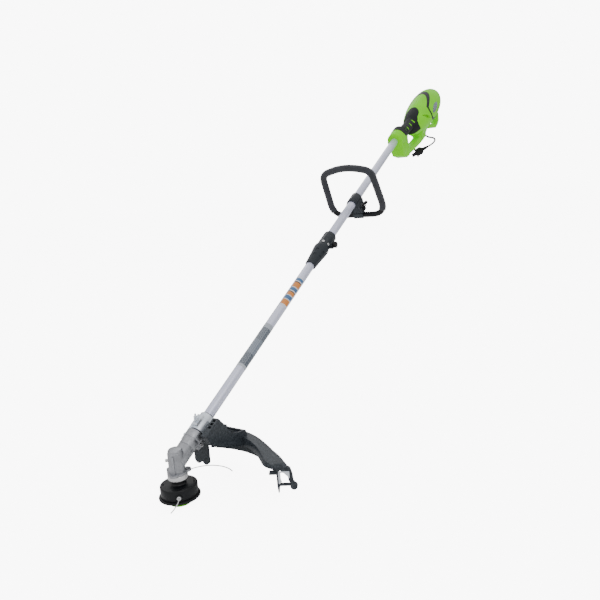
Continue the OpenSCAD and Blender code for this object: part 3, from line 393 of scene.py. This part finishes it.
def label_material():
    """Printed film: a blue-grey panel with rows of plain dashes, and a strip of coloured blocks."""
    make = Finish("printed_label", roughness=0.32, Coat_Weight=0.4, Coat_Roughness=0.15)
    turned = make.turned()
    # the crossing lies this far along X in the turned coordinates
    tube_start = CROSSING_HEIGHT * math.sin(SHAFT_ANGLE) + LOWER_TUBE_START * MM
    panel_start, panel_length = tube_start + PANEL_LABEL[0] * MM, PANEL_LABEL[1] * MM
    strip_start, strip_length = tube_start + STRIP_LABEL[0] * MM, STRIP_LABEL[1] * MM
    film, axes = striped(make, turned, panel_start, panel_length, [
        (0.0, (0.50, 0.54, 0.60)), (0.05, (0.10, 0.125, 0.16)), (0.30, (0.20, 0.24, 0.30)),
        (0.62, (0.12, 0.145, 0.18)), (0.9, (0.42, 0.46, 0.52))])
    dash = make.tree.nodes.new("ShaderNodeTexBrick")
    dash.inputs["Scale"].default_value = 160.0
    dash.inputs["Mortar Size"].default_value = 0.035
    dash.inputs["Brick Width"].default_value = 1.3
    dash.inputs["Row Height"].default_value = 0.55
    dash.inputs["Color1"].default_value = (0, 0, 0, 1)
    dash.inputs["Color2"].default_value = (0.25, 0.25, 0.25, 1)
    dash.inputs["Mortar"].default_value = (1, 1, 1, 1)
    make.tree.links.new(turned, dash.inputs["Vector"])
    rows = make.mix(dash.outputs["Fac"], film, (0.52, 0.55, 0.60))
    orange, blue, white, ink = (0.80, 0.27, 0.04), (0.05, 0.16, 0.36), (0.80, 0.80, 0.82), (0.03, 0.03, 0.035)
    blocks = striped(make, turned, strip_start, strip_length, [
        (0.0, white), (0.04, orange), (0.20, white), (0.23, blue), (0.34, white), (0.37, orange),
        (0.47, ink), (0.50, white), (0.53, blue), (0.63, white), (0.66, orange), (0.82, ink),
        (0.85, white), (0.88, blue), (0.97, white)])[0]
    # the strip takes over from the panel within a millimetre, on the bare tube between them
    switch = strip_start - 20 * MM
    second = spread(make.tree, axes["X"], switch, switch + MM)
    printed = make.mix(second, rows, blocks)
    scuff = spread(make.tree, noise(make.tree, make.place, 160.0, 5.0, 0.7), 0.58, 0.75, 0.0, 0.5)
    make.color(make.mix(scuff, printed, (0.45, 0.46, 0.50)))
    make.rough(noise(make.tree, make.place, 60.0, 4.0), 0.26, 0.42)
    make.bump(noise(make.tree, make.place, 900.0, 2.0), 0.00003)
    return make.material


def badge_material():
    """Domed lens: a blue-grey metallic film with pale bands, under clear resin."""
    make = Finish("badge_lens", roughness=0.3, metallic=0.35, Coat_Weight=1.0, Coat_Roughness=0.04)
    turned = make.turned()
    wave = make.tree.nodes.new("ShaderNodeTexWave")
    wave.inputs["Scale"].default_value = 34.0
    wave.inputs["Distortion"].default_value = 1.2
    make.tree.links.new(turned, wave.inputs["Vector"])
    glow = spread(make.tree, wave.outputs["Fac"], 0.35, 0.75)
    make.color(make.mix(glow, (0.055, 0.075, 0.13), (0.36, 0.41, 0.52)))
    make.rough(noise(make.tree, make.place, 80.0, 3.0), 0.22, 0.36)
    make.bump(noise(make.tree, make.place, 400.0, 2.0), 0.00002)
    return make.material


def line_material():
    """Clear nylon line with a milky core."""
    make = Finish("nylon_line", roughness=0.25, Transmission_Weight=0.35, IOR=1.5, Coat_Weight=0.2)
    tone = spread(make.tree, noise(make.tree, make.place, 240.0, 4.0), 0.35, 0.65)
    make.color(make.mix(tone, (0.80, 0.81, 0.82), (0.92, 0.92, 0.92)))
    make.rough(noise(make.tree, make.place, 900.0, 2.0), 0.2, 0.4)
    make.bump(noise(make.tree, make.place, 1500.0, 2.0), 0.00004)
    return make.material


def foam_material(rgb):
    """Closed-cell foam: fine open pores with painted shade in their pits, and a dry, soft sheen."""
    make = Finish("foam_sleeve", roughness=0.85, Sheen_Weight=0.35, Sheen_Roughness=0.5)
    pores = make.tree.nodes.new("ShaderNodeTexVoronoi")
    pores.inputs["Scale"].default_value = 1100.0
    make.tree.links.new(make.place, pores.inputs["Vector"])
    tone = spread(make.tree, noise(make.tree, make.place, 40.0, 5.0, 0.6), 0.32, 0.7)
    base = make.mix(tone, shade(rgb, 0.8), shade(rgb, 1.35))
    # painted shade: the colour darkens towards each pore's centre, where the bump sinks the pit
    pore_shade = spread(make.tree, pores.outputs["Distance"], 0.05, 0.3)
    make.color(make.mix(pore_shade, shade(rgb, 0.35), base))
    make.rough(pores.outputs["Distance"], 0.95, 0.78, 0.0, 0.6)
    make.bump(pores.outputs["Distance"], 0.0004)
    return make.material


def build_materials(finish):
    """One material for each of the record's slots."""
    alloy, cast = tuple(finish.alloy), tuple(finish.cast)
    return {
        "green_plastic": plastic("green_plastic", tuple(finish.green), rough=0.34, grain=1500.0,
                                 depth=0.00002, worn=1.1, dust=0.0, gloss=0.12),
        "black_plastic": plastic("black_plastic", tuple(finish.black), rough=0.34, grain=1100.0,
                                 depth=0.00005, worn=2.6),
        "guard_plastic": plastic("guard_plastic", tuple(finish.charcoal), rough=0.38, grain=800.0,
                                 depth=0.00003, worn=1.6),
        "soft_grip": plastic("soft_grip", tuple(finish.grip), rough=0.6, grain=620.0,
                             depth=0.0002, worn=1.5),
        "foam": foam_material(tuple(finish.foam)),
        "rubber": plastic("cord_rubber", (0.009, 0.009, 0.011), rough=0.48, grain=1300.0,
                          depth=0.00008, worn=1.8),
        "tube_alloy": metal("tube_alloy", alloy, 0.27, "drawn", scale=700.0, depth=0.00003, tint=0.92,
                            metallic=0.45, along_shaft=True, Stretch=0.015),
        "cast_alloy": metal("cast_alloy", cast, 0.4, "cast", scale=500.0, depth=0.0002, tint=0.75),
        "steel": metal("machined_steel", (0.78, 0.78, 0.79), 0.16, "drawn", scale=900.0, depth=0.00003,
                       tint=0.8, Stretch=0.3),
        "zinc_steel": metal("zinc_steel", (0.84, 0.91, 1.0), 0.2, "cast", scale=160.0, depth=0.00008,
                            tint=0.85, metallic=0.6),
        "label": label_material(),
        "badge": badge_material(),
        "line_white": line_material(),
        "bush_white": plastic("bushing_nylon", (0.70, 0.69, 0.64), rough=0.5, grain=900.0,
                              depth=0.00006, worn=1.1),
        "motor_iron": metal("motor_iron", (0.20, 0.20, 0.22), 0.5, "cast", scale=300.0, depth=0.0002,
                            tint=0.7),
        "copper": metal("copper_winding", (0.72, 0.32, 0.14), 0.35, "drawn", scale=1200.0, depth=0.0001,
                        tint=0.75, Stretch=0.1),
    }


# ---------------------------------------------------------------- shape helpers


def shading_tree(angle):
    """Modifier that shades a mesh smooth and keeps edges over the angle crisp."""
    tree = bpy.data.node_groups.new("crisp_edges", "GeometryNodeTree")
    tree.interface.new_socket(name="Geometry", in_out="INPUT", socket_type="NodeSocketGeometry")
    tree.interface.new_socket(name="Geometry", in_out="OUTPUT", socket_type="NodeSocketGeometry")
    start, end = tree.nodes.new("NodeGroupInput"), tree.nodes.new("NodeGroupOutput")
    bend = tree.nodes.new("GeometryNodeInputMeshEdgeAngle")
    over = tree.nodes.new("FunctionNodeCompare")
    over.data_type, over.operation = "FLOAT", "GREATER_THAN"
    over.inputs[1].default_value = angle
    tree.links.new(bend.outputs["Unsigned Angle"], over.inputs[0])
    normal = tree.nodes.new("GeometryNodeSetMeshNormal")
    normal.mode = "SHARPNESS"
    tree.links.new(start.outputs[0], normal.inputs["Mesh"])
    tree.links.new(over.outputs[0], normal.inputs["Edge Sharpness"])
    tree.links.new(normal.outputs[0], end.inputs[0])
    return tree


def add_bevel(piece, width, angle):
    """Modifier that rounds the edges sharper than the angle."""
    bevel = piece.modifiers.new("rounded_edges", "BEVEL")
    bevel.width, bevel.segments, bevel.profile = width, 2, 0.5
    bevel.limit_method, bevel.angle_limit = "ANGLE", angle
    bevel.affect, bevel.material, bevel.use_clamp_overlap = "EDGES", -1, True


def round_cord(name, points, radius, material, body):
    """One open curve through the points, as round as a cord."""
    curve = bpy.data.curves.new(name, "CURVE")
    curve.dimensions = "3D"
    curve.bevel_depth, curve.bevel_resolution = radius, 5
    curve.use_fill_caps = True
    line = curve.splines.new("POLY")
    line.points.add(len(points) - 1)
    for knot, point in zip(line.points, points):
        knot.co = (*point, 1)
    line.use_smooth = True
    piece = bpy.data.objects.new(name, curve)
    bpy.context.scene.collection.objects.link(piece)
    curve.materials.append(material)
    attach(piece, body)
    return piece


# stretches that a curve gets between two points of its route
CURVE_STEPS = 4


def smooth_route(route):
    """Points on one smooth curve through the route's points."""
    made, last = [], len(route) - 1
    for i in range(last):
        a, b, c, d = route[max(i - 1, 0)], route[i], route[i + 1], route[min(i + 2, last)]
        for j in range(CURVE_STEPS):
            t = j / CURVE_STEPS
            made.append(0.5 * (2 * b + (c - a) * t + (2 * a - 5 * b + 4 * c - d) * t * t
                               + (3 * b - a - 3 * c + d) * t * t * t))
    return made + [route[last]]


# ---------------------------------------------------------------- operators


# the camera's place in metres, and its right and up directions
CAMERA_PLACE = (-0.8504, -0.9027, 0.6408)
CAMERA_RIGHT = (0.5364, -0.8411, -0.0700)
CAMERA_UP = (0.1858, 0.0367, 0.9819)


class TRIMMER_OT_camera(bpy.types.Operator):
    """Places the camera in front of the cutting head, looking up along the shaft"""

    bl_idname = "trimmer.camera"
    bl_label = "Camera"

    def execute(self, context):
        data = bpy.data.cameras.new("camera")
        data.sensor_width, data.lens, data.clip_end = 36.0, 36.0, 200.0
        camera = bpy.data.objects.new("camera", data)
        context.scene.collection.objects.link(camera)
        right = Vector(CAMERA_RIGHT)
        back = right.cross(Vector(CAMERA_UP)).normalized()
        up = back.cross(right).normalized()
        turn = Matrix((right, up, back)).transposed().to_4x4()
        camera.matrix_world = Matrix.Translation(CAMERA_PLACE) @ turn
        context.scene.camera = camera
        return {"FINISHED"}


# the lead's points in millimetres, measured as in on_housing
CORD_ROUTE = [(263, 0, -102.2), (274.5, 0, -113.7), (283.8, -3.1, -126.7), (290.2, -9.4, -136.2),
              (306.3, -21.3, -150.2), (317.7, -21.5, -163.9), (324.4, -12.6, -177),
              (323.8, 0.7, -186.4), (317.4, 14.4, -190.7)]


class TRIMMER_OT_power_cord(bpy.types.Operator):
    """Makes the short power lead that hangs from the gland and carries the plug"""

    bl_idname = "trimmer.power_cord"
    bl_label = "Power lead"

    def execute(self, context):
        sizes = context.scene.trimmer_sizes
        points = smooth_route([on_housing(*p) for p in CORD_ROUTE])
        cord = round_cord("power_lead", points, sizes.cord_diameter / 2, MATERIALS["rubber"],
                          "powerhead")
        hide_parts("power_cord")
        return {"FINISHED"}


# the points of both line ends in millimetres in the frame
LINE_ENDS = {
    "near_line_end": [(-31.5, -29.4, 31), (-36, -33.5, 31), (-39.5, -35, 28.5), (-42, -33, 23),
                      (-45, -29, 16), (-48, -24, 9), (-50, -20.5, 5)],
    "far_line_end": [(31.5, 29.4, 31), (37, 34.5, 31), (52, 43, 31), (78, 45, 31), (104, 34, 30),
                     (122, 14, 29), (130, -10, 28), (129, -32, 27), (124, -46, 26)],
}


class TRIMMER_OT_cutting_line(bpy.types.Operator):
    """Makes the two stiff ends of nylon line that leave the head"""

    bl_idname = "trimmer.cutting_line"
    bl_label = "Cutting line"

    def execute(self, context):
        width = context.scene.trimmer_sizes.line_diameter
        for name, route in LINE_ENDS.items():
            points = smooth_route([Vector(p) * MM for p in route])
            line = round_cord(name, points, width / 2, MATERIALS["line_white"], "cutting_head")
            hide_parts("cutting_line")
        return {"FINISHED"}


# two points of a mesh nearer than this many metres are one
WELD_DISTANCE = 2e-6
METAL_SLOTS = {"tube_alloy", "cast_alloy", "steel", "zinc_steel", "motor_iron", "copper"}
# nodes inside the machine, hardly seen from outside, so their edges stay as cut
HIDDEN_INSIDE = {
    "wound_line", "line_spool", "head_spring", "output_shaft", "bevel_gear", "gearbox_bearings",
    "bevel_pinion", "lower_drive_shaft", "lower_bushings", "upper_bushings", "upper_drive_shaft",
    "trigger_spring", "switch_box", "flex_liner", "motor_stator", "armature", "cooling_fan",
    "motor_bearings", "brush_holders", "motor_frame",
}
# nodes whose edges stay as cut, because a rounding would leave gaps in a thin film
THIN_FILMS = {"shaft_labels", "stripe_band", "badge", "grip_cover"}


class TRIMMER_OT_frame_nodes(bpy.types.Operator):
    """Gives every node of the frame its finish, softened edges and smooth shading"""

    bl_idname = "trimmer.frame_nodes"
    bl_label = "Frame nodes"

    def execute(self, context):
        sizes = context.scene.trimmer_sizes
        crisp = shading_tree(sizes.sharp_angle)
        for name, node in NODES.items():
            for place in node.material_slots:
                place.material = MATERIALS[NODE_SLOT[name]]
            weld = node.modifiers.new("welded", "WELD")
            weld.merge_threshold = WELD_DISTANCE
            if name not in HIDDEN_INSIDE and name not in THIN_FILMS:
                fine = NODE_SLOT[name] in METAL_SLOTS
                add_bevel(node, sizes.metal_round if fine else sizes.plastic_round, sizes.sharp_angle)
            smooth = node.modifiers.new("shading", "NODES")
            smooth.node_group = crisp
        return {"FINISHED"}


# brightness of the floor as the camera sees it, as a share of the backdrop's
FLOOR_SHARE = 0.9
# each light's place, the point that it faces, its width and its share of the key light's power
LIGHTS = {
    "key": ((-1.6, -2.6, 3.4), (0.6, 0.0, 0.4), 2.5, 1.0),
    "fill": ((-2.8, 1.4, 1.6), (0.5, 0.0, 0.4), 2.0, 0.35),
    "rim": ((3.0, 2.0, 3.0), (1.0, 0.0, 0.6), 2.0, 0.6),
}


class TRIMMER_OT_stage(bpy.types.Operator):
    """Lays a pale floor and sets soft, even light"""

    bl_idname = "trimmer.stage"
    bl_label = "Stage"

    def execute(self, context):
        stage = context.scene.trimmer_stage
        self.lay_floor(context, stage)
        self.light_world(context, stage)
        for name, (place, aim, size, share) in LIGHTS.items():
            data = bpy.data.lights.new(name, "AREA")
            data.size, data.energy = size, stage.key * share
            lamp = bpy.data.objects.new(name, data)
            context.scene.collection.objects.link(lamp)
            look = (Vector(aim) - Vector(place)).to_track_quat("-Z", "Y").to_matrix().to_4x4()
            lamp.matrix_world = Matrix.Translation(place) @ look
        return {"FINISHED"}

    def lay_floor(self, context, stage):
        """Round floor that the camera sees as bright as the backdrop"""
        bm = bmesh.new()
        bmesh.ops.create_circle(bm, cap_ends=True, cap_tris=False, segments=96, radius=stage.floor_radius)
        mesh = bpy.data.meshes.new("floor")
        bm.to_mesh(mesh)
        bm.free()
        floor = bpy.data.objects.new("floor", mesh)
        context.scene.collection.objects.link(floor)
        make = Finish("pale_floor", roughness=0.8, Specular_IOR_Level=0.2)
        tone = stage.floor_tone
        cloud = spread(make.tree, noise(make.tree, make.place, 3.0, 4.0), 0.3, 0.7)
        make.color(make.mix(cloud, (tone * 0.99,) * 3, (tone,) * 3))
        seen = make.tree.nodes.new("ShaderNodeLightPath").outputs["Is Camera Ray"]
        make.shader.inputs["Emission Color"].default_value = (1, 1, 1, 1)
        glow = math_node(make.tree, "MULTIPLY", seen, stage.backdrop * FLOOR_SHARE)
        make.tree.links.new(glow, make.shader.inputs["Emission Strength"])
        floor.data.materials.append(make.material)

    def light_world(self, context, stage):
        """Soft light, stronger from above, in front of a backdrop that only the camera sees"""
        world = bpy.data.worlds.new("studio")
        context.scene.world = world
        world.use_nodes = True
        tree = world.node_tree
        split = tree.nodes.new("ShaderNodeSeparateXYZ")
        tree.links.new(tree.nodes.new("ShaderNodeTexCoord").outputs["Generated"], split.inputs[0])
        light = spread(tree, split.outputs["Z"], 0.05, 0.8, stage.side, stage.sky)
        seen = tree.nodes.new("ShaderNodeLightPath").outputs["Is Camera Ray"]
        strength = spread(tree, seen, 0.0, 1.0, light, stage.backdrop)
        tree.nodes["Background"].inputs["Color"].default_value = (1, 1, 1, 1)
        tree.links.new(strength, tree.nodes["Background"].inputs["Strength"])


# in the order in which they run
OPERATORS = (TRIMMER_OT_camera, TRIMMER_OT_frame_nodes, TRIMMER_OT_power_cord, TRIMMER_OT_cutting_line,
             TRIMMER_OT_stage)


class TRIMMER_PT_panel(bpy.types.Panel):
    """Lists the steps that build the trimmer"""

    bl_idname = "TRIMMER_PT_panel"
    bl_label = "Trimmer"
    bl_space_type = "VIEW_3D"
    bl_region_type = "UI"
    bl_category = "Trimmer"

    def draw(self, context):
        layout = self.layout
        for group in (context.scene.trimmer_finish, context.scene.trimmer_sizes, context.scene.trimmer_stage):
            for key in group.bl_rna.properties.keys():
                if key not in ("rna_type", "name"):
                    layout.prop(group, key)
        for operator in OPERATORS:
            layout.operator(operator.bl_idname)


CLASSES = (TrimmerFinish, TrimmerSizes, TrimmerStage, *OPERATORS, TRIMMER_PT_panel)
# finish of each slot, filled by main
MATERIALS = {}


def register():
    for cls in CLASSES:
        bpy.utils.register_class(cls)
    bpy.types.Scene.trimmer_finish = bpy.props.PointerProperty(type=TrimmerFinish)
    bpy.types.Scene.trimmer_sizes = bpy.props.PointerProperty(type=TrimmerSizes)
    bpy.types.Scene.trimmer_stage = bpy.props.PointerProperty(type=TrimmerStage)


def unregister():
    del bpy.types.Scene.trimmer_finish
    del bpy.types.Scene.trimmer_sizes
    del bpy.types.Scene.trimmer_stage
    for cls in reversed(CLASSES):
        bpy.utils.unregister_class(cls)


def main():
    register()
    Finish.groups = build_groups()
    MATERIALS.update(build_materials(bpy.context.scene.trimmer_finish))
    for operator in OPERATORS:
        step = operator.bl_idname.split(".")[1]
        getattr(bpy.ops.trimmer, step)()


if __name__ == "__main__":
    main()
